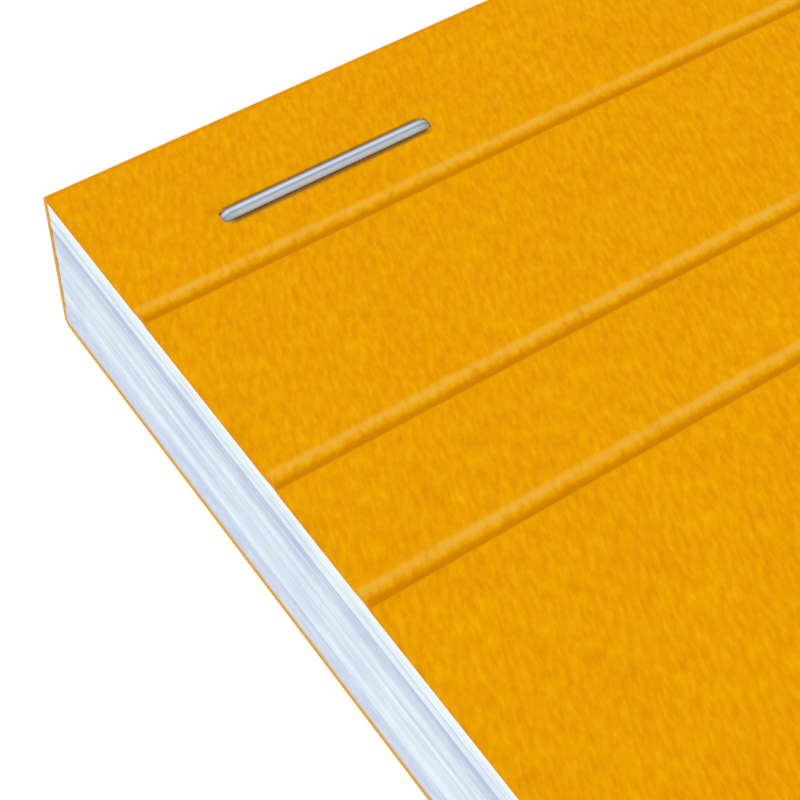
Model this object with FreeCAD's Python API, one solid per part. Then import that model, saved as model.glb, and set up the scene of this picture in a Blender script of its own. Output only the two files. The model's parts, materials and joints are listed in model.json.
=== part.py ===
import FreeCAD, Part
import math
import os

# Head-stapled writing pad in a creased card cover, in millimetres.
# The pad lies on its back: X across the sheets, +Y towards the stapled head, +Z up.
# The origin is at the middle of the underside.

V = FreeCAD.Vector

# Each sheet tears off below the stapled stub
pad_width = 210.0
torn_sheet_length = 297.0
tear_line_from_head = 21.0
tear_line_width = 0.2
tear_line_depth = 0.05

# The stack, from the bottom up: back card, backing board, sheets, front card
card_thickness = 0.35
board_thickness = 1.3
sheet_count = 80
sheet_thickness = 0.1

# The card turns round the head with these outside radii
head_upper_radius = 0.45
head_lower_radius = 0.5

# Three creases let the front cover fold back over the head
upper_crease_from_head = 9.85
middle_crease_from_head = 21.7
lower_crease_from_head = 29.2
bead_width = 1.3
bead_height = 0.18
groove_width = 0.8
groove_depth = 0.1

# Two staples of flattened wire, pressed into the front and clinched inwards on the back
crown_length = 13.0
crown_from_side = 6.5
crown_from_head = 6.5
wire_width = 0.75
wire_thickness = 0.45
wire_edge_chamfer = 0.13
bend_inside_radius = 0.3
crown_seat = 0.2
clinch_length = 4.5
clinch_inset = 0.05
wire_clearance = 0.05
pocket_corner_radius = 0.12

# Heights and edges worked out from the sizes above
board_bottom = card_thickness
board_top = board_bottom + board_thickness
sheets_top = board_top + sheet_count * sheet_thickness
front_face = sheets_top + card_thickness
pad_length = torn_sheet_length + tear_line_from_head
side_edge = pad_width / 2
head_edge = pad_length / 2
foot_edge = -pad_length / 2
head_inside = head_edge - card_thickness
upper_crease = head_edge - upper_crease_from_head
middle_crease = head_edge - middle_crease_from_head
lower_crease = head_edge - lower_crease_from_head
staple_y = head_edge - crown_from_head
staple_x = side_edge - crown_from_side - crown_length / 2
crown_half = crown_length / 2
dent_roof = clinch_inset + wire_thickness + wire_clearance

# Two places or directions that differ by less than this are the same
same_within = 1e-6


def at(y, z):
    """A point of the lengthwise section, on the pad's left edge."""
    return V(-side_edge, y, z)


def line(start, end):
    return Part.LineSegment(start, end).toShape()


def quarter_turn(start, end, centre):
    """A quarter circle from start to end about centre."""
    radius = (start - centre).Length
    middle = centre + (start + end - centre * 2).normalize() * radius
    return Part.Arc(start, middle, end).toShape()


def half_crest(place, base, width, height, side):
    """The arc from a crease's crest down to the flat card, on its head side (1) or foot side (-1)."""
    half = width / 2
    radius = (half ** 2 + height ** 2) / (2 * height)
    turn = math.asin(half / radius)
    centre_z = base + height - radius

    def on_arc(angle):
        return at(place + side * radius * math.sin(angle), centre_z + radius * math.cos(angle))

    return on_arc(0), on_arc(turn / 2), on_arc(turn)


def outer_crest(place, side):
    return half_crest(place, front_face, bead_width, bead_height, side)


def inner_crest(place, side):
    return half_crest(place, sheets_top, groove_width, groove_depth, side)


def edges_along(solid, direction):
    """The solid's straight edges that run along this direction."""
    return [edge for edge in solid.Edges if edge.tangentAt(0).cross(direction).Length < same_within]


def across_pad(edges):
    """A closed section, carried across the pad's whole width."""
    section = Part.Face(Part.Wire(Part.__sortEdges__(edges)))
    return section.extrude(V(pad_width, 0, 0))


def cover_panel(head_crease, foot_crease=None):
    """The front card from one crease towards the foot, to the next crease or to the foot edge."""
    crest, mid, flat = outer_crest(head_crease, -1)
    under_crest, under_mid, under_flat = inner_crest(head_crease, -1)
    edges = [
        Part.Arc(crest, mid, flat).toShape(),
        line(crest, under_crest),
        Part.Arc(under_crest, under_mid, under_flat).toShape(),
    ]
    if foot_crease is None:
        top_end = at(foot_edge, front_face)
        bottom_end = at(foot_edge, sheets_top)
        edges.append(line(top_end, bottom_end))
    else:
        foot_crest, foot_mid, top_end = outer_crest(foot_crease, 1)
        foot_under, foot_under_mid, bottom_end = inner_crest(foot_crease, 1)
        edges.append(Part.Arc(foot_crest, foot_mid, top_end).toShape())
        edges.append(line(foot_crest, foot_under))
        edges.append(Part.Arc(foot_under, foot_under_mid, bottom_end).toShape())
    edges.append(line(flat, top_end))
    edges.append(line(under_flat, bottom_end))
    return across_pad(edges)


def wire_block(x_from, x_to, z_from, z_to, margin=wire_clearance):
    """A block on the staples' line, wider than the wire by margin on each side."""
    width = wire_width + 2 * margin
    corner = V(min(x_from, x_to), staple_y - width / 2, z_from)
    return Part.makeBox(abs(x_to - x_from), width, z_to - z_from, corner)


def staple_legs():
    """Each leg's staple middle, and the side of it that the leg is on."""
    return [(middle, side) for middle in (-staple_x, staple_x) for side in (-1, 1)]


def leg_slots(z_from, z_to, inward):
    """Slots for the four staple legs, widened towards each crown's middle by inward."""
    slots = []
    for middle, side in staple_legs():
        outside = middle + side * (crown_half + wire_clearance)
        inside = middle + side * (crown_half - wire_thickness - inward - wire_clearance)
        slots.append(wire_block(outside, inside, z_from, z_to))
    return slots


def clinch_blocks(z_from, z_to, margin):
    """One block with rounded corners over each clinched leg, larger than it by margin all round."""
    blocks = []
    for middle, side in staple_legs():
        outside = middle + side * (crown_half + margin)
        tip = middle + side * (crown_half - clinch_length - margin)
        block = wire_block(outside, tip, z_from, z_to, margin)
        corner = pocket_corner_radius + margin - wire_clearance
        blocks.append(block.makeFillet(corner, edges_along(block, V(0, 0, 1))))
    return blocks


def crown_seats():
    """The shallow beds that the crowns are pressed into."""
    seats = []
    half = crown_half + wire_clearance
    for middle in (-staple_x, staple_x):
        seats.append(wire_block(middle - half, middle + half, front_face - crown_seat, front_face))
    return seats


def tear_groove():
    """The fine pressed line that the sheets tear along, as a shallow V in the top sheet."""
    place = head_edge - tear_line_from_head
    half = tear_line_width / 2
    corners = [
        at(place - half, sheets_top),
        at(place, sheets_top - tear_line_depth),
        at(place + half, sheets_top),
    ]
    section = Part.Face(Part.makePolygon(corners + corners[:1]))
    return section.extrude(V(pad_width, 0, 0))


def card_wrap():
    """The card that stays still: the strip under the crowns, the head and the whole back."""
    upper = head_edge - head_upper_radius
    lower = head_edge - head_lower_radius
    upper_centre = at(upper, front_face - head_upper_radius)
    lower_centre = at(lower, head_lower_radius)
    crest, mid, flat = outer_crest(upper_crease, 1)
    under_crest, under_mid, under_flat = inner_crest(upper_crease, 1)
    edges = [
        Part.Arc(crest, mid, flat).toShape(),
        line(flat, at(upper, front_face)),
        quarter_turn(at(upper, front_face), at(head_edge, upper_centre.z), upper_centre),
        line(at(head_edge, upper_centre.z), at(head_edge, head_lower_radius)),
        quarter_turn(at(head_edge, head_lower_radius), at(lower, 0), lower_centre),
        line(at(lower, 0), at(foot_edge, 0)),
        line(at(foot_edge, 0), at(foot_edge, card_thickness)),
        line(at(foot_edge, card_thickness), at(lower, card_thickness)),
        quarter_turn(at(lower, card_thickness), at(head_inside, head_lower_radius), lower_centre),
        line(at(head_inside, head_lower_radius), at(head_inside, upper_centre.z)),
        quarter_turn(at(head_inside, upper_centre.z), at(upper, sheets_top), upper_centre),
        line(at(upper, sheets_top), under_flat),
        Part.Arc(under_flat, under_mid, under_crest).toShape(),
        line(under_crest, crest),
    ]
    wrap = across_pad(edges)
    dents = clinch_blocks(0, dent_roof + card_thickness, wire_clearance + card_thickness)
    wrap = wrap.fuse(dents)
    pockets = clinch_blocks(0, dent_roof, wire_clearance)
    back_slots = leg_slots(0, dent_roof + card_thickness, bend_inside_radius)
    front_slots = leg_slots(sheets_top, front_face, bend_inside_radius)
    return wrap.cut(pockets + back_slots + front_slots + crown_seats())


def round_head_edge(block, height, radius):
    """Rounds the block's head edge at this height, to lie inside the turned card."""
    corners = []
    for edge in edges_along(block, V(1, 0, 0)):
        middle = edge.CenterOfMass
        if abs(middle.y - head_inside) < same_within and abs(middle.z - height) < same_within:
            corners.append(edge)
    return block.makeFillet(radius, corners)


def backing_board():
    """The stiff board between the back card and the sheets, dented where the wire is clinched."""
    board = Part.makeBox(
        pad_width,
        head_inside - foot_edge,
        board_thickness,
        V(-side_edge, foot_edge, board_bottom),
    )
    board = round_head_edge(board, board_bottom, head_lower_radius - card_thickness)
    dents = clinch_blocks(board_bottom, dent_roof + card_thickness, wire_clearance + card_thickness)
    return board.cut(dents + leg_slots(board_bottom, board_top, 0))


def paper_block():
    """All the sheets, squared up in one block."""
    sheets = Part.makeBox(
        pad_width,
        head_inside - foot_edge,
        sheets_top - board_top,
        V(-side_edge, foot_edge, board_top),
    )
    sheets = round_head_edge(sheets, sheets_top, head_upper_radius - card_thickness)
    return sheets.cut(leg_slots(board_top, sheets_top, 0) + [tear_groove()])


def staple(middle):
    """One flattened wire, carried round crown, legs and clinched tips."""
    half = wire_thickness / 2
    bend = bend_inside_radius + half
    top = front_face - crown_seat + half
    bottom = clinch_inset + half
    side = crown_half - half
    tip = crown_half - clinch_length

    def on_path(x, z):
        return V(middle + x, staple_y, z)

    def bend_edge(x_sign, start, end, centre):
        return quarter_turn(
            on_path(x_sign * start[0], start[1]),
            on_path(x_sign * end[0], end[1]),
            on_path(x_sign * centre[0], centre[1]),
        )

    edges = [line(on_path(-(side - bend), top), on_path(side - bend, top))]
    for sign in (-1, 1):
        edges += [
            line(on_path(sign * tip, bottom), on_path(sign * (side - bend), bottom)),
            bend_edge(sign, (side - bend, bottom), (side, bottom + bend), (side - bend, bottom + bend)),
            line(on_path(sign * side, bottom + bend), on_path(sign * side, top - bend)),
            bend_edge(sign, (side, top - bend), (side - bend, top), (side - bend, top - bend)),
        ]
    path = Part.Wire(Part.__sortEdges__(edges))
    corner = V(middle - tip, staple_y - wire_width / 2, bottom - half)
    blank = Part.makeBox(clinch_length, wire_width, wire_thickness, corner)
    bevelled = blank.makeChamfer(wire_edge_chamfer, edges_along(blank, V(1, 0, 0)))
    start_face = min(bevelled.Faces, key=lambda face: face.CenterOfMass.x)
    return path.makePipeShell([start_face.OuterWire], True, False)


def save(name, shape):
    shape.exportStep(os.path.join("parts", name + ".step"))
    print(name, "solids", len(shape.Solids), "volume", round(shape.Volume, 2), "valid", shape.isValid())


os.makedirs("parts", exist_ok=True)
save("cover_wrap", card_wrap())
save("cover_band_upper", cover_panel(upper_crease, middle_crease))
save("cover_band_lower", cover_panel(middle_crease, lower_crease))
save("front_cover", cover_panel(lower_crease))
save("paper_block", paper_block())
save("backing_board", backing_board())
save("staples", Part.makeCompound([staple(-staple_x), staple(staple_x)]))
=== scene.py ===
import json
import math
import random

import bmesh
import bpy
from mathutils import Matrix, Vector


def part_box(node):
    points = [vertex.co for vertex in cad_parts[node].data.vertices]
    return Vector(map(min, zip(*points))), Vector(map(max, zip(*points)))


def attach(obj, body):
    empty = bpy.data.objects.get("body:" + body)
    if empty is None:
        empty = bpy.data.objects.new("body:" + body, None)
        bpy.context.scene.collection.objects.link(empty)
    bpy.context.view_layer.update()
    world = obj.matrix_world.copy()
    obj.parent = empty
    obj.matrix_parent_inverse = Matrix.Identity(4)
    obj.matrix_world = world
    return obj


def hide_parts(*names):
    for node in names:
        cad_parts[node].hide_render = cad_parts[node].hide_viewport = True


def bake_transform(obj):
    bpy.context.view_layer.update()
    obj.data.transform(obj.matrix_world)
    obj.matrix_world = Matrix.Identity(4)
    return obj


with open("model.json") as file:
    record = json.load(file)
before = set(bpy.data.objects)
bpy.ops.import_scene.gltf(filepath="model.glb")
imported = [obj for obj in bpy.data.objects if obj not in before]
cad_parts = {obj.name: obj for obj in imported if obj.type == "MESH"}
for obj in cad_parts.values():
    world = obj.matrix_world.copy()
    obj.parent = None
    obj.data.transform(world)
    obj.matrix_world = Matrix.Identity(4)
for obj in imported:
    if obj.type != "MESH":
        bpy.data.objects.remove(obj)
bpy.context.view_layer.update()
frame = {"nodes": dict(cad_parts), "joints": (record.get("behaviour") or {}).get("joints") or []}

# The pad lies on its back in metres: X across, +Y towards the head, +Z up
mm = 0.001
wrapLow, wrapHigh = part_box("cover_wrap")
paperLow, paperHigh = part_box("paper_block")
stapleLow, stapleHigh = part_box("staples")
sideEdge = wrapHigh.x
headEdge = wrapHigh.y
footEdge = wrapLow.y
sheetsTop = paperHigh.z
cardThickness = headEdge - paperHigh.y
frontFace = sheetsTop + cardThickness
creases = [joint["pos_m"][1] for joint in frame["joints"]]
creaseCrest = frame["joints"][0]["pos_m"][2]
stapleY = (stapleLow.y + stapleHigh.y) / 2
untilted = (0, 0, 0)


# Short ways of working with Blender's own tools

def deselectAll():
    for thing in bpy.context.selected_objects:
        thing.select_set(False)


def takeUp(piece):
    deselectAll()
    piece.select_set(True)
    bpy.context.view_layer.objects.active = piece


def newPlane(name, xFrom, xTo, yFrom, yTo, z):
    deselectAll()
    bpy.ops.mesh.primitive_plane_add(size=1, location=((xFrom + xTo) / 2, (yFrom + yTo) / 2, z))
    piece = bpy.context.active_object
    piece.name = name
    piece.scale = (xTo - xFrom, yTo - yFrom, 1)
    settle(piece)
    return piece


def newBlock(name, low, high):
    deselectAll()
    bpy.ops.mesh.primitive_cube_add(size=1, location=[(a + b) / 2 for a, b in zip(low, high)])
    piece = bpy.context.active_object
    piece.name = name
    piece.scale = [b - a for a, b in zip(low, high)]
    settle(piece)
    return piece


def settle(piece):
    # places the object at the origin, unturned, with its place in its mesh
    takeUp(piece)
    bpy.ops.object.transform_apply(location=True, rotation=True, scale=True)


def editing(piece):
    takeUp(piece)
    bpy.ops.object.mode_set(mode="EDIT")
    bpy.ops.mesh.select_all(action="DESELECT")


def doneEditing():
    bpy.ops.object.mode_set(mode="OBJECT")


def pick(kind, wanted):
    # selects the vertices, edges or faces whose middle passes the test, and says how many
    bpy.ops.mesh.select_all(action="DESELECT")
    bpy.ops.mesh.select_mode(type=kind)
    mesh = bmesh.from_edit_mesh(bpy.context.active_object.data)
    parts = {"VERT": mesh.verts, "EDGE": mesh.edges, "FACE": mesh.faces}[kind]
    count = 0
    for part in parts:
        if kind == "VERT":
            inside = wanted(part.co)
        elif kind == "EDGE":
            inside = all(wanted(corner.co) for corner in part.verts)
        else:
            inside = wanted(part.calc_center_median())
        if inside:
            part.select_set(True)
            count += 1
    mesh.select_flush_mode()
    bmesh.update_edit_mesh(bpy.context.active_object.data)
    return count


def sliceAcross(place, direction):
    # a cut across whatever is selected
    bpy.ops.mesh.bisect(plane_co=place, plane_no=direction, threshold=1e-8)


def finishModifier(piece, kind, **settings):
    takeUp(piece)
    modifier = piece.modifiers.new(kind.lower(), kind)
    for name, value in settings.items():
        setattr(modifier, name, value)
    bpy.ops.object.modifier_apply(modifier=modifier.name)


def near(value, place, within=0.005 * mm):
    return abs(value - place) < within


def smoothByAngle(piece, degrees):
    takeUp(piece)
    bpy.ops.object.shade_smooth_by_angle(angle=math.radians(degrees))


def keepFlatsFlat(piece, degrees=50):
    # smooth across gentle bends, with the normals led by the large flat faces
    smoothByAngle(piece, degrees)
    finishModifier(piece, "WEIGHTED_NORMAL", keep_sharp=True, weight=100)


# Shader sums written as ordinary arithmetic

class Signal:
    # one output of a shader node
    def __init__(self, tree, socket=None):
        self.tree = tree
        self.socket = socket

    # any node: its type, its settings, then the values or links of its sockets
    def node(self, kind, settings, inputs, output=0):
        made = self.tree.nodes.new(kind)
        for name, value in settings.items():
            if name == "stops":
                fillRamp(made.color_ramp, value)
            else:
                setattr(made, name, value)
        for name, value in inputs.items():
            if isinstance(value, Signal):
                self.tree.links.new(value.socket, made.inputs[name])
            else:
                made.inputs[name].default_value = value
        return Signal(self.tree, made.outputs[output])

    def math(self, operation, *values):
        return self.node("ShaderNodeMath", {"operation": operation}, dict(enumerate(values)))

    def __add__(self, other):
        return self.math("ADD", self, other)

    __radd__ = __add__

    def __sub__(self, other):
        return self.math("SUBTRACT", self, other)

    def __rsub__(self, other):
        return self.math("SUBTRACT", other, self)

    def __mul__(self, other):
        return self.math("MULTIPLY", self, other)

    __rmul__ = __mul__

    def __truediv__(self, other):
        return self.math("DIVIDE", self, other)

    def __abs__(self):
        return self.math("ABSOLUTE", self)


def fillRamp(ramp, stops):
    while len(ramp.elements) < len(stops):
        ramp.elements.new(1)
    for element, (place, colour) in zip(ramp.elements, stops):
        element.position = place
        element.color = colour


def paint(red, green, blue):
    # a screen colour, 0 to 255, as the linear colour that shaders use
    def linear(value):
        share = value / 255
        return share / 12.92 if share <= 0.04045 else ((share + 0.055) / 1.055) ** 2.4

    return (linear(red), linear(green), linear(blue), 1)


def grey(value):
    return (value, value, value, 1)


def newMaterial(name):
    material = bpy.data.materials.new(name)
    material.use_nodes = True
    tree = material.node_tree
    return material, tree.nodes["Principled BSDF"], Signal(tree)


def connect(shader, name, signal):
    signal.tree.links.new(signal.socket, shader.inputs[name])


def setSurface(shader, **values):
    # constants on the shader's own sockets
    for name, value in values.items():
        shader.inputs[{"specular": "Specular IOR Level"}.get(name, name.capitalize())].default_value = value


def component(vector, axis):
    return vector.node("ShaderNodeSeparateXYZ", {}, {0: vector}, "xyz".index(axis))


def lightPath(start, *kinds):
    # 1 for any of the named kinds of ray
    found = start.node("ShaderNodeLightPath", {}, {}, kinds[0])
    for kind in kinds[1:]:
        found = start.math("MAXIMUM", found, start.node("ShaderNodeLightPath", {}, {}, kind))
    return found


def roughen(start, shader, strength, distance, height):
    sockets = {"Strength": strength, "Distance": distance, "Height": height}
    connect(shader, "Normal", start.node("ShaderNodeBump", {}, sockets))


def blendColours(start, share, first, second):
    # first where share is 0, second where it is 1
    sockets = {0: share, 6: first, 7: second}
    return start.node("ShaderNodeMix", {"data_type": "RGBA", "clamp_factor": True}, sockets, 2)


def window(signal, middle, halfWidth, softness):
    # 1 within halfWidth of middle, falling smoothly to 0
    settings = {"interpolation_type": "SMOOTHSTEP"}
    sockets = {0: abs(signal - middle), 1: halfWidth + softness, 2: max(halfWidth - softness, 0), 3: 0, 4: 1}
    return signal.node("ShaderNodeMapRange", settings, sockets)


def noise(start, vector, scale, detail=2.0, roughness=0.5):
    sockets = {"Vector": vector, "Scale": scale, "Detail": detail, "Roughness": roughness}
    return start.node("ShaderNodeTexNoise", {}, sockets)


def stretched(start, vector, turn, scale):
    sockets = {"Vector": vector, "Rotation": turn, "Scale": scale}
    return start.node("ShaderNodeMapping", {"vector_type": "TEXTURE"}, sockets)


# The card: dyed through, faintly fibrous, with pale stressed fibres and a painted sheen on each crease's head
# flank, which faces the light, and painted shade on its foot flank

cardLook = {
    "colour": paint(234, 159, 0),
    "light": paint(244, 174, 2),
    "dark": paint(224, 142, 0),
    "stressed": paint(227, 175, 56),
    "shaded": paint(212, 116, 0),
    "cutEdge": paint(224, 169, 76),
    # the colour of the painted shadow beside the wire
    "pressed": paint(88, 58, 32),
    "grainTurn": math.radians(-21),
    "grainWidth": 0.30 * mm,
    "grainLength": 0.95 * mm,
    # each line's place from the crease, its half width and its softness
    "stressedLine": (0.20 * mm, 0.24 * mm, 0.20 * mm),
    "shadedLine": (-0.50 * mm, 0.14 * mm, 0.13 * mm),
    "ragged": (0.24 * mm, 0.20 * mm),
    "cutHalfWidth": 0.01 * mm,
    "roughness": 0.78,
    "specular": 0.02,
}


def cardMaterial():
    material, shader, start = newMaterial("coverCard")
    along = start.node("ShaderNodeUVMap", {"uv_map": "card"}, {})
    grainSize = (cardLook["grainWidth"], cardLook["grainLength"], cardLook["grainWidth"])
    grain = noise(start, stretched(start, along, (0, 0, cardLook["grainTurn"]), grainSize), 1.0, 3.0, 0.6)
    blotch = noise(start, along, 900, 2.0, 0.5)
    cloud = noise(start, along, 260, 2.0, 0.5)
    tone = (grain - 0.5) * 4.0 + (blotch - 0.5) * 1.2 + (cloud - 0.5) * 0.9
    colour = blendColours(start, tone, cardLook["colour"], cardLook["light"])
    colour = blendColours(start, 0 - tone, colour, cardLook["dark"])
    across = component(along, "x")
    rolled = component(along, "y")
    blotchShift, grainShift = cardLook["ragged"]
    place = rolled + ((blotch - 0.5) * blotchShift + (grain - 0.5) * grainShift)
    for crease in creases:
        sheenFrom, sheenHalf, sheenSoft = cardLook["stressedLine"]
        shadedFrom, shadedHalf, shadedSoft = cardLook["shadedLine"]
        # painted sheen over pale stressed fibres on the head flank, where the light falls; painted shade on
        # the foot flank
        pale = window(place, crease + sheenFrom, sheenHalf, sheenSoft)
        deep = window(place, crease + shadedFrom, shadedHalf, shadedSoft)
        sheenAndWear = 0.78 + (cloud - 0.5) * 1.4 + (grain - 0.5) * 1.8
        colour = blendColours(start, pale * sheenAndWear, colour, cardLook["stressed"])
        colour = blendColours(start, deep * (0.38 + (grain - 0.5) * 1.2), colour, cardLook["shaded"])
    # painted shade along the rounded head fold, where the card turns away from the light
    foldShade = window(rolled, headEdge, 0.16 * mm, 0.12 * mm)
    colour = blendColours(start, foldShade * 0.35, colour, cardLook["shaded"])
    # painted shadow on the card around the wire where it stands on the card, mostly on its foot side
    besideCrown = window(abs(across), stapleMiddles[1], crownLength / 2 - 0.45 * mm, 0.35 * mm)
    footShadow = window(rolled, stapleY - wireWidth / 2, 0.28 * mm, 0.16 * mm)
    headShadow = window(rolled, stapleY + wireWidth / 2 + 0.08 * mm, 0.17 * mm, 0.07 * mm)
    colour = blendColours(start, besideCrown * footShadow * 0.78, colour, cardLook["pressed"])
    colour = blendColours(start, besideCrown * headShadow * 0.60, colour, cardLook["pressed"])
    # the cut edges of the head and the back show the card's paler core
    cutHalf = cardLook["cutHalfWidth"]
    backFootEdge = headEdge + frontFace + (headEdge - footEdge)
    turned = start.math("GREATER_THAN", rolled, headEdge)
    sides = window(abs(across), sideEdge, cutHalf, cutHalf / 2) * turned
    frontFoot = window(rolled, footEdge, cutHalf, cutHalf / 2)
    backFoot = window(rolled, backFootEdge, cutHalf, cutHalf / 2)
    colour = blendColours(start, sides + frontFoot + backFoot, colour, cardLook["cutEdge"])
    connect(shader, "Base Color", colour)
    roughen(start, shader, 0.25, 0.03 * mm, grain * 0.6 + blotch * 0.4)
    setSurface(shader, roughness=cardLook["roughness"], specular=cardLook["specular"])
    return material


# The cover: one card in pieces, with its seams in the flats between the creases

coverShape = {
    "beadWidth": 1.3 * mm,
    "beadHeight": creaseCrest - frontFace,
    "grooveDepth": 0.1 * mm,
    "beadSteps": 24,
    "crestLean": -0.38,
    "footRound": 1.5,
    "headUpperRadius": 0.45 * mm,
    "headLowerRadius": 0.5 * mm,
    "seamFromCrease": 1.5 * mm,
    "bedFit": 0.02 * mm,
    "bedCorner": 0.15 * mm,
    "bedDepth": 0.2 * mm,
    "wireRoom": 0.05 * mm,
    "clinchLength": 4.5 * mm,
}
wireWidth = stapleHigh.y - stapleLow.y
wireThickness = stapleHigh.z - (frontFace - coverShape["bedDepth"])
leftEnds = [corner.co.x for corner in frame["nodes"]["staples"].data.vertices if corner.co.x < 0]
crownLength = max(leftEnds) - min(leftEnds)
stapleMiddles = [(max(leftEnds) + min(leftEnds)) / 2, -(max(leftEnds) + min(leftEnds)) / 2]


def creaseStations(crease):
    # even steps up the long, gentle head flank and down the short, rounded foot flank
    steps = coverShape["beadSteps"] // 2
    half = coverShape["beadWidth"] / 2
    crest = crease + coverShape["crestLean"] * half
    headFlank = crease + half - crest
    footFlank = crest - crease + half
    up = [crest + headFlank * step / steps for step in range(steps, 0, -1)]
    down = [crest - footFlank * step / steps for step in range(steps + 1)]
    rise = [(1 + math.cos(math.pi * step / steps)) / 2 for step in range(steps, 0, -1)]
    fall = [1 - (step / steps) ** coverShape["footRound"] for step in range(steps + 1)]
    return list(zip(up + down, rise + fall))


def raiseBead(crease):
    # the crest pressed up out of the face, with a shallower groove behind it
    faces = ((frontFace, "beadHeight"), (sheetsTop, "grooveDepth"))
    for place, rise in creaseStations(crease):
        for level, height in faces:
            if rise > 0:
                pick("VERT", lambda co: near(co.y, place, 0.001 * mm) and near(co.z, level))
                bpy.ops.transform.translate(value=(0, 0, rise * coverShape[height]))


def mapCard(piece):
    # unrolls the card: u across the pad, v from the foot over the front, the head and the back
    mesh = piece.data
    layer = mesh.uv_layers.new(name="card")
    for loop in mesh.loops:
        place = mesh.vertices[loop.vertex_index].co
        if place.y > headEdge - coverShape["headLowerRadius"]:
            rolled = headEdge + max(frontFace - place.z, 0) - max(headEdge - place.y - cardThickness, 0)
        elif place.z > frontFace / 2:
            rolled = place.y
        else:
            rolled = headEdge + frontFace + (headEdge - place.y)
        layer.data[loop.index].uv = (place.x, rolled)


def cardPanel(name, yFrom, yTo, crease):
    piece = newPlane(name, -sideEdge, sideEdge, yFrom, yTo, frontFace)
    editing(piece)
    for place, _ in creaseStations(crease):
        bpy.ops.mesh.select_all(action="SELECT")
        sliceAcross((0, place, 0), (0, 1, 0))
    doneEditing()
    finishModifier(piece, "SOLIDIFY", thickness=cardThickness, offset=-1)
    editing(piece)
    raiseBead(crease)
    doneEditing()
    mapCard(piece)
    keepFlatsFlat(piece)
    return piece


def openForClinches():
    # leaves the back card open where the four clinched wire tips are pressed in
    half = wireWidth / 2 + coverShape["wireRoom"]

    def onBack(co):
        return near(co.z, 0)

    def inBand(co):
        return onBack(co) and abs(co.y - stapleY) < half

    for edge in (stapleY - half, stapleY + half):
        pick("FACE", onBack)
        sliceAcross((0, edge, 0), (0, 1, 0))
    spans = []
    for crownMiddle in stapleMiddles:
        for side in (-1, 1):
            heel = crownMiddle + side * (crownLength / 2 + coverShape["wireRoom"])
            tip = crownMiddle + side * (crownLength / 2 - coverShape["clinchLength"] - coverShape["wireRoom"])
            spans.append((min(heel, tip), max(heel, tip)))
    for low, high in spans:
        for x in (low, high):
            pick("FACE", inBand)
            sliceAcross((x, 0, 0), (1, 0, 0))
    pick("FACE", lambda co: inBand(co) and any(low < co.x < high for low, high in spans))
    bpy.ops.mesh.delete(type="FACE")


def pressCrownBeds(piece):
    # a close bed for each crown, undercut where the wire turns down through the card
    halfWide = wireWidth / 2 + coverShape["bedFit"]
    bottomHalf = crownLength / 2 + coverShape["bedFit"]
    outerRadius = stapleShape["insideRadius"] + wireThickness
    turnedAway = math.sqrt(outerRadius ** 2 - (outerRadius - (stapleHigh.z - frontFace)) ** 2)
    halfLong = bottomHalf - outerRadius + turnedAway

    def onFront(co):
        return near(co.z, frontFace)

    def inBand(co):
        return onFront(co) and abs(co.y - stapleY) < halfWide

    def isCorner(co):
        onLongSide = near(abs(co.y - stapleY), halfWide)
        return onFront(co) and onLongSide and near(abs(abs(co.x) - stapleMiddles[1]), halfLong)

    editing(piece)
    for y in (stapleY - halfWide, stapleY + halfWide):
        pick("FACE", onFront)
        sliceAcross((0, y, 0), (0, 1, 0))
    for crownMiddle in stapleMiddles:
        for x in (crownMiddle - halfLong, crownMiddle + halfLong):
            pick("FACE", inBand)
            sliceAcross((x, 0, 0), (1, 0, 0))
    pick("VERT", isCorner)
    bpy.ops.mesh.bevel(offset=coverShape["bedCorner"], segments=3, affect="VERTICES")
    for crownMiddle in stapleMiddles:
        pick("FACE", lambda co: inBand(co) and abs(co.x - crownMiddle) < 0.9 * halfLong)
        bpy.ops.mesh.extrude_region_move(TRANSFORM_OT_translate={"value": (0, 0, -coverShape["bedDepth"])})
        bedMiddle = (crownMiddle, stapleY, frontFace)
        bpy.ops.transform.resize(value=(bottomHalf / halfLong, 1, 1), center_override=bedMiddle)
    doneEditing()


def cardWrap():
    seam = creases[0] + coverShape["seamFromCrease"]
    piece = newPlane("coverWrapCard", -sideEdge, sideEdge, seam, headEdge, frontFace)
    editing(piece)
    pick("EDGE", lambda co: near(co.y, headEdge))
    bpy.ops.mesh.extrude_region_move(TRANSFORM_OT_translate={"value": (0, 0, -frontFace)})
    pick("EDGE", lambda co: near(co.z, 0))
    bpy.ops.mesh.extrude_region_move(TRANSFORM_OT_translate={"value": (0, footEdge - headEdge, 0)})
    bpy.ops.mesh.select_all(action="SELECT")
    bpy.ops.mesh.normals_make_consistent(inside=False)
    openForClinches()
    for height, radius in ((frontFace, "headUpperRadius"), (0, "headLowerRadius")):
        pick("EDGE", lambda co: near(co.y, headEdge) and near(co.z, height))
        bpy.ops.mesh.bevel(offset=coverShape[radius], segments=8, affect="EDGES")
    doneEditing()
    finishModifier(piece, "SOLIDIFY", thickness=cardThickness, offset=-1, use_even_offset=True)
    pressCrownBeds(piece)
    mapCard(piece)
    keepFlatsFlat(piece)
    return piece


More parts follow.
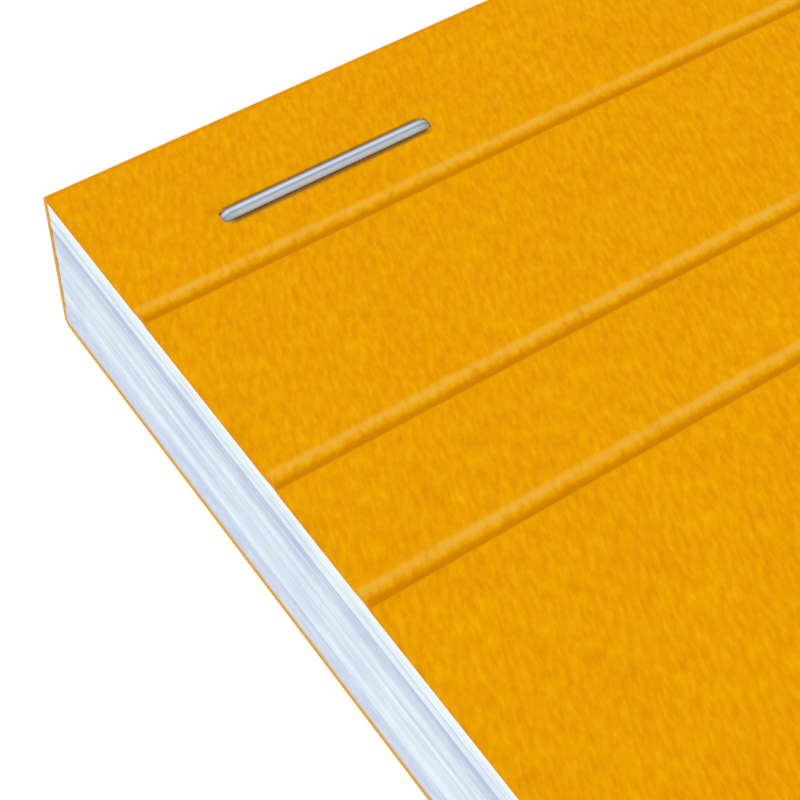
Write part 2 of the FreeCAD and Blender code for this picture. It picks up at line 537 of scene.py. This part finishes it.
def makeCover():
    material = cardMaterial()
    seamOne = creases[0] + coverShape["seamFromCrease"]
    seamTwo = (creases[0] + creases[1]) / 2
    seamThree = (creases[1] + creases[2]) / 2
    half = coverShape["beadWidth"] / 2
    wrap = cardWrap()
    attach(wrap, "pad_body")
    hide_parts("cover_wrap")
    panels = [
        ("upperCreaseCard", seamTwo, seamOne, 0, "pad_body", "upper_band", "cover_band_upper"),
        ("middleCreaseCard", seamThree, seamTwo, 1, "upper_band", "lower_band", "cover_band_lower"),
        ("frontCoverCard", footEdge, seamThree, 2, "lower_band", "front_flap", "front_cover"),
    ]
    cards = [wrap]
    for name, yFrom, yTo, index, bodyBefore, bodyAfter, node in panels:
        crease = creases[index]
        piece = cardPanel(name, yFrom, yTo, crease)
        crease - half
        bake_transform(piece)
        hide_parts(node)
        cards.append(piece)
    for piece in cards:
        piece.data.materials.clear()
        piece.data.materials.append(material)
    print("cover made:", [piece.name for piece in cards])


# The sheets: one block whose cut sides show the sheets in uneven drifts

sheetStack = {
    "count": 80,
    "gap": 0.012 * mm,
    "drift": 0.035 * mm,
    "jitter": 0.012 * mm,
    "tearFromHead": 21.0 * mm,
    "tearWidth": 0.2 * mm,
    "tearDepth": 0.05 * mm,
    "seed": 7,
    # the painted shade and the painted light of the cut edges' bands
    "deep": paint(188, 200, 228),
    "pale": paint(241, 253, 255),
    "topmost": paint(254, 255, 252),
    "face": paint(243, 245, 247),
    "faceShade": paint(236, 239, 243),
    "shadowLineBelowTop": 1.14 * mm,
    # height above the board in mm, and how pale the cut edges are painted there: painted light and shade of
    # sheets standing out or back
    "drifts": [
        (0.0, 0.35), (0.4, 0.35), (1.0, 0.75), (1.35, 0.75), (1.8, 0.50), (2.1, 0.55), (2.35, 0.65),
        (2.65, 0.40), (3.25, 0.75), (3.55, 0.50), (3.85, 0.50), (4.15, 0.80), (4.8, 0.50), (5.05, 0.35),
        (5.4, 0.35), (5.9, 0.10), (6.08, 0.02), (6.15, 0.65), (6.5, 0.85), (6.8, 0.60), (6.95, 0.70),
        (7.2, 0.85), (8.0, 0.95),
    ],
}


def sheetMaterial():
    material, shader, start = newMaterial("cutSheets")
    place = start.node("ShaderNodeTexCoord", {}, {}, "Object")
    up = component(place, "z")
    thick = paperHigh.z - paperLow.z
    slow = noise(start, stretched(start, place, untilted, (20 * mm, 11 * mm, 4 * mm)), 1.0, 1.0, 0.5)
    quick = noise(start, stretched(start, place, untilted, (20 * mm, 2.5 * mm, 0.6 * mm)), 1.0, 2.0, 0.5)
    drifted = up + (slow - 0.5) * (0.12 * mm) + (quick - 0.5) * (0.08 * mm)
    height = (drifted - paperLow.z) / thick
    levels = [(rise * mm / thick, grey(tone)) for rise, tone in sheetStack["drifts"]]
    bands = start.node("ShaderNodeValToRGB", {"stops": levels}, {0: height})
    # fainter streaks: tilt, size and strength
    layers = [
        ((0.012, 0, 0), (20 * mm, 10 * mm, 0.21 * mm), 0.9),
        ((-0.015, 0, 0), (20 * mm, 6 * mm, 0.11 * mm), 0.7),
        (untilted, (20 * mm, 1.2 * mm, 0.5 * mm), 0.4),
        (untilted, (20 * mm, 3.5 * mm, 30 * mm), 0.4),
    ]
    dashes = noise(start, stretched(start, place, untilted, (20 * mm, 6 * mm, 1)), 1.0, 2.0, 0.5)
    shadowHeight = paperHigh.z - sheetStack["shadowLineBelowTop"]
    shadowLine = window(drifted, shadowHeight, 0.05 * mm, 0.05 * mm)
    tone = bands - shadowLine * (dashes * 1.6 - 0.55)
    for tilt, size, strength in layers:
        streaks = noise(start, stretched(start, place, tilt, size), 1.0, 2.0, 0.5)
        tone = tone + (streaks - 0.5) * strength
    # from the painted shade of the deep bands to the painted light of the pale ones
    colour = blendColours(start, tone, sheetStack["deep"], sheetStack["pale"])
    # a painted highlight along the cut edges of the top sheets
    topmost = window(up, paperHigh.z, 0.45 * mm, 0.25 * mm)
    colour = blendColours(start, topmost * 0.6, colour, sheetStack["topmost"])
    # card fibres dragged over the last sheets at the fold by the trimming knife
    dragged = window(component(place, "y"), paperHigh.y, 0.10 * mm, 0.06 * mm)
    colour = blendColours(start, dragged * 0.7, colour, cardLook["cutEdge"])
    # the blank face of the top sheet, faintly clouded
    facing = start.node("ShaderNodeNewGeometry", {}, {}, "True Normal")
    upward = abs(component(facing, "z"))
    onFace = upward * start.math("GREATER_THAN", up, paperHigh.z - 2 * sheetStack["tearDepth"])
    clouds = noise(start, place, 350, 4.0, 0.6) * 0.6 + noise(start, place, 2500, 2.0, 0.5) * 0.4
    face = blendColours(start, (clouds - 0.35) * 3.0, sheetStack["faceShade"], sheetStack["face"])
    colour = blendColours(start, onFace, colour, face)
    connect(shader, "Base Color", colour)
    ripple = noise(start, stretched(start, place, untilted, (4 * mm, 4 * mm, 0.1 * mm)), 1.0, 2.0, 0.5)
    roughen(start, shader, 0.15, 0.02 * mm, ripple)
    setSurface(shader, roughness=0.8, specular=0.15)
    return material


def makeSheets():
    random.seed(sheetStack["seed"])
    piece = newBlock("sheets", paperLow, paperHigh)
    thickness = (paperHigh.z - paperLow.z) / sheetStack["count"]
    halfGap = sheetStack["gap"] / 2
    editing(piece)
    for index in range(1, sheetStack["count"]):
        level = paperLow.z + index * thickness
        for place in (level - halfGap, level + halfGap):
            bpy.ops.mesh.select_all(action="SELECT")
            sliceAcross((0, 0, place), (0, 0, 1))
    drift = 0.5
    width = paperHigh.x - paperLow.x
    middle = (paperLow + paperHigh) / 2
    for index in range(sheetStack["count"]):
        low = paperLow.z + index * thickness
        drift = min(max(drift + random.uniform(-0.3, 0.3), 0), 1)
        inward = drift * sheetStack["drift"] + random.uniform(0, sheetStack["jitter"])
        pick("VERT", lambda co: low < co.z + 0.001 * mm and co.z < low + thickness + 0.001 * mm)
        share = 1 - 2 * inward / width
        bpy.ops.transform.resize(value=(share, share, 1), center_override=(0, paperHigh.y, middle.z))
    pressTearLine()
    doneEditing()
    smoothByAngle(piece, 20)
    piece.data.materials.append(sheetMaterial())
    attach(piece, "pad_body")
    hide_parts("paper_block")
    print("sheets made:", len(piece.data.polygons), "faces")


def pressTearLine():
    place = headEdge - sheetStack["tearFromHead"]
    half = sheetStack["tearWidth"] / 2
    for y in (place - half, place, place + half):
        pick("FACE", lambda co: near(co.z, paperHigh.z))
        sliceAcross((0, y, 0), (0, 1, 0))
    pick("VERT", lambda co: near(co.z, paperHigh.z) and near(co.y, place))
    bpy.ops.transform.translate(value=(0, 0, -sheetStack["tearDepth"]))


# The backing board keeps its own solid, with a pulpy grey-blue cut edge

boardLook = {
    "colour": paint(211, 222, 240),
    "light": paint(234, 243, 252),
    "dark": paint(188, 200, 227),
}
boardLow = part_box("backing_board")[0]


def boardMaterial():
    material, shader, start = newMaterial("backingBoard")
    place = start.node("ShaderNodeTexCoord", {}, {}, "Object")
    fibres = (8 * mm, 2.5 * mm, 0.35 * mm)
    streak = noise(start, stretched(start, place, untilted, fibres), 1.0, 3.0, 0.6)
    speck = noise(start, place, 2200, 2.0, 0.6)
    tone = (streak - 0.5) * 2.4 + (speck - 0.5) * 0.9
    colour = blendColours(start, tone, boardLook["colour"], boardLook["light"])
    colour = blendColours(start, 0 - tone, colour, boardLook["dark"])
    # card fibres dragged over the board's lowest edge by the trimming knife
    dragged = window(component(place, "z"), boardLow.z, 0.20 * mm, 0.07 * mm)
    colour = blendColours(start, dragged * 0.75, colour, cardLook["cutEdge"])
    connect(shader, "Base Color", colour)
    roughen(start, shader, 0.3, 0.03 * mm, streak + speck * 0.5)
    setSurface(shader, roughness=0.85, specular=0.1)
    return material


def finishBoard():
    board = frame["nodes"]["backing_board"]
    board.data.materials.clear()
    board.data.materials.append(boardMaterial())
    print("board finished")


# The staples: flattened drawn wire, bent at the crown's ends and clinched on the back

stapleShape = {
    "edgeRound": 0.2 * mm,
    "insideRadius": 0.3 * mm,
    "bendSteps": 10,
    "grooveHalf": 0.10 * mm,
    "groovePlace": -0.15 * mm,
    "grooveDepth": 0.02 * mm,
    "clinchInset": 0.05 * mm,
    # painted reflections across the wire, from its foot side, 0, to its head side, 1, lightened on the shaded
    # foot side and darkest along the head edge
    "stripes": [
        (0.0, paint(232, 246, 255)), (0.06, paint(212, 224, 237)), (0.14, paint(196, 206, 216)),
        (0.22, paint(174, 182, 192)), (0.30, paint(154, 161, 172)), (0.38, paint(166, 174, 184)),
        (0.46, paint(190, 200, 210)), (0.54, paint(212, 223, 234)), (0.63, paint(190, 201, 216)),
        (0.72, paint(160, 164, 182)), (0.80, paint(126, 120, 126)), (0.88, paint(88, 77, 78)),
        (1.0, paint(62, 52, 50)),
    ],
    "shade": paint(92, 88, 98),
}


def wireMaterial():
    material, shader, start = newMaterial("drawnWire")
    place = start.node("ShaderNodeTexCoord", {}, {}, "Object")
    across = component(place, "y") - stapleY
    drawn = (20 * mm, 0.06 * mm, 20 * mm)
    lines = noise(start, stretched(start, place, untilted, drawn), 1.0, 2.0, 0.5)
    share = across / wireWidth + 0.5 + (lines - 0.5) * 0.015
    # the painted reflection stripes across the wire
    bands = start.node("ShaderNodeValToRGB", {"stops": stapleShape["stripes"]}, {0: share})
    low = window(component(place, "z"), frontFace, 0.03 * mm, 0.03 * mm)
    along = abs(abs(component(place, "x")) - stapleMiddles[1])
    ends = window(along, crownLength / 2, 0.7 * mm, 0.6 * mm)
    colour = blendColours(start, low * 0.4, bands, stapleShape["shade"])
    colour = blendColours(start, ends * 0.35, colour, stapleShape["shade"])
    connect(shader, "Base Color", colour)
    roughen(start, shader, 0.2, 0.006 * mm, lines)
    setSurface(shader, metallic=0.35, roughness=0.62, specular=0.2)
    return material


def carryOn(x, z):
    bpy.ops.mesh.extrude_region_move(TRANSFORM_OT_translate={"value": (x, 0, z)})


def bendWire(centre, angle):
    bpy.ops.mesh.spin(steps=stapleShape["bendSteps"], angle=-angle, center=centre, axis=(0, 1, 0))


def makeStaple(name, middle):
    thickness = wireThickness
    bottom = stapleShape["clinchInset"]
    top = stapleHigh.z
    half = crownLength / 2
    inside = stapleShape["insideRadius"]
    tip = half - coverShape["clinchLength"]
    deselectAll()
    bpy.ops.mesh.primitive_plane_add(
        size=1,
        location=(middle - tip, stapleY, bottom + thickness / 2),
        rotation=(0, -math.pi / 2, 0),
    )
    piece = bpy.context.active_object
    piece.name = name
    piece.scale = (thickness, wireWidth, 1)
    settle(piece)
    editing(piece)
    bpy.ops.mesh.select_all(action="SELECT")
    bpy.ops.mesh.bevel(offset=stapleShape["edgeRound"], segments=6, affect="VERTICES")
    groove = stapleShape["groovePlace"]
    for y in (-1, 0, 1):
        bpy.ops.mesh.select_all(action="SELECT")
        sliceAcross((0, stapleY + groove + y * stapleShape["grooveHalf"], 0), (0, 1, 0))
    # the drawn groove down the wire's outer face
    pick("VERT", lambda co: near(co.y, stapleY + groove) and near(co.z, bottom))
    bpy.ops.transform.translate(value=(0, 0, stapleShape["grooveDepth"]))
    bpy.ops.mesh.select_mode(type="FACE")
    bpy.ops.mesh.select_all(action="SELECT")
    straight = half - thickness - inside
    legLength = top - bottom - 2 * (thickness + inside)
    carryOn(-(straight - tip), 0)
    bendWire((middle - straight, stapleY, bottom + thickness + inside), math.pi / 2)
    carryOn(0, legLength)
    bendWire((middle - straight, stapleY, top - thickness - inside), math.pi / 2)
    carryOn(2 * straight, 0)
    bendWire((middle + straight, stapleY, top - thickness - inside), math.pi / 2)
    carryOn(0, -legLength)
    bendWire((middle + straight, stapleY, bottom + thickness + inside), math.pi / 2)
    carryOn(-(straight - tip), 0)
    bpy.ops.mesh.select_all(action="SELECT")
    bpy.ops.mesh.remove_doubles(threshold=0.0002 * mm)
    bpy.ops.mesh.normals_make_consistent(inside=False)
    doneEditing()
    smoothByAngle(piece, 40)
    return piece


def makeStaples():
    material = wireMaterial()
    for name, middle in zip(("leftStaple", "rightStaple"), stapleMiddles):
        piece = makeStaple(name, middle)
        piece.data.materials.append(material)
        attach(piece, "pad_body")
        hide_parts("staples")
    print("staples made")


# The setting: a pale floor, even light from above the head's left, and the close view of that corner

studio = {
    "ambient": 0.60,
    "sunStrength": 1.64,
    "sunFrom": (-0.32, 0.557, 0.766),
    "sunAngle": math.radians(14),
    "floorSize": 4.0,
    "floorDark": grey(0.93),
    "floorLight": grey(0.95),
    "floorGlow": 0.16,
    # rays that see the floor and the room as plain white
    "plainRays": ("Is Camera Ray", "Is Glossy Ray", "Is Transmission Ray"),
}
cameraView = {
    # the lens, seen from the front face's left corner at the head
    "fromCorner": (-25.145 * mm, -66.596 * mm, 70.271 * mm),
    "right": (0.82418, -0.56608, 0.01664),
    "up": (0.43429, 0.65061, 0.62298),
    "pixelFocal": 1928.1,
    "pixelWidth": 800,
    "sensorWidth": 36.0,
    "nearest": 0.005,
    "farthest": 20,
}


def floorMaterial():
    material, shader, start = newMaterial("paleFloor")
    place = start.node("ShaderNodeTexCoord", {}, {}, "Object")
    speck = noise(start, place, 60, 3.0, 0.5)
    colour = blendColours(start, speck, studio["floorDark"], studio["floorLight"])
    connect(shader, "Base Color", colour)
    setSurface(shader, roughness=0.9, specular=0.0)
    glow = lightPath(start, *studio["plainRays"])
    connect(shader, "Emission Color", blendColours(start, glow, grey(0), grey(studio["floorGlow"])))
    shader.inputs["Emission Strength"].default_value = 1
    return material


def makeFloor():
    half = studio["floorSize"] / 2
    floor = newPlane("studioFloor", -half, half, -half, half, 0)
    floor.data.materials.append(floorMaterial())


def lightScene():
    world = bpy.data.worlds.new("softRoom")
    bpy.context.scene.world = world
    world.use_nodes = True
    start = Signal(world.node_tree)
    plain = lightPath(start, *studio["plainRays"])
    background = world.node_tree.nodes["Background"]
    connect(background, "Color", blendColours(start, plain, grey(studio["ambient"]), grey(1)))
    background.inputs["Strength"].default_value = 1
    bpy.ops.object.light_add(type="SUN", location=(0, 0, 1))
    sun = bpy.context.active_object
    sun.name = "softSun"
    sun.data.energy = studio["sunStrength"]
    sun.data.angle = studio["sunAngle"]
    sun.rotation_euler = Vector(studio["sunFrom"]).to_track_quat("Z", "Y").to_euler()


def placeCamera():
    data = bpy.data.cameras.new("cornerView")
    camera = bpy.data.objects.new("cornerView", data)
    bpy.context.scene.collection.objects.link(camera)
    right = Vector(cameraView["right"]).normalized()
    up = Vector(cameraView["up"])
    up = (up - right * up.dot(right)).normalized()
    back = right.cross(up)
    turn = Matrix((right, up, back)).transposed()
    corner = Vector((-sideEdge, headEdge, frontFace))
    camera.matrix_world = Matrix.Translation(corner + Vector(cameraView["fromCorner"])) @ turn.to_4x4()
    data.sensor_width = cameraView["sensorWidth"]
    data.lens = cameraView["sensorWidth"] * cameraView["pixelFocal"] / cameraView["pixelWidth"]
    data.clip_start = cameraView["nearest"]
    data.clip_end = cameraView["farthest"]
    bpy.context.scene.camera = camera


makeCover()
makeSheets()
finishBoard()
makeStaples()
makeFloor()
lightScene()
placeCamera()
bpy.context.scene.view_settings.view_transform = "Standard"
print("scene set")
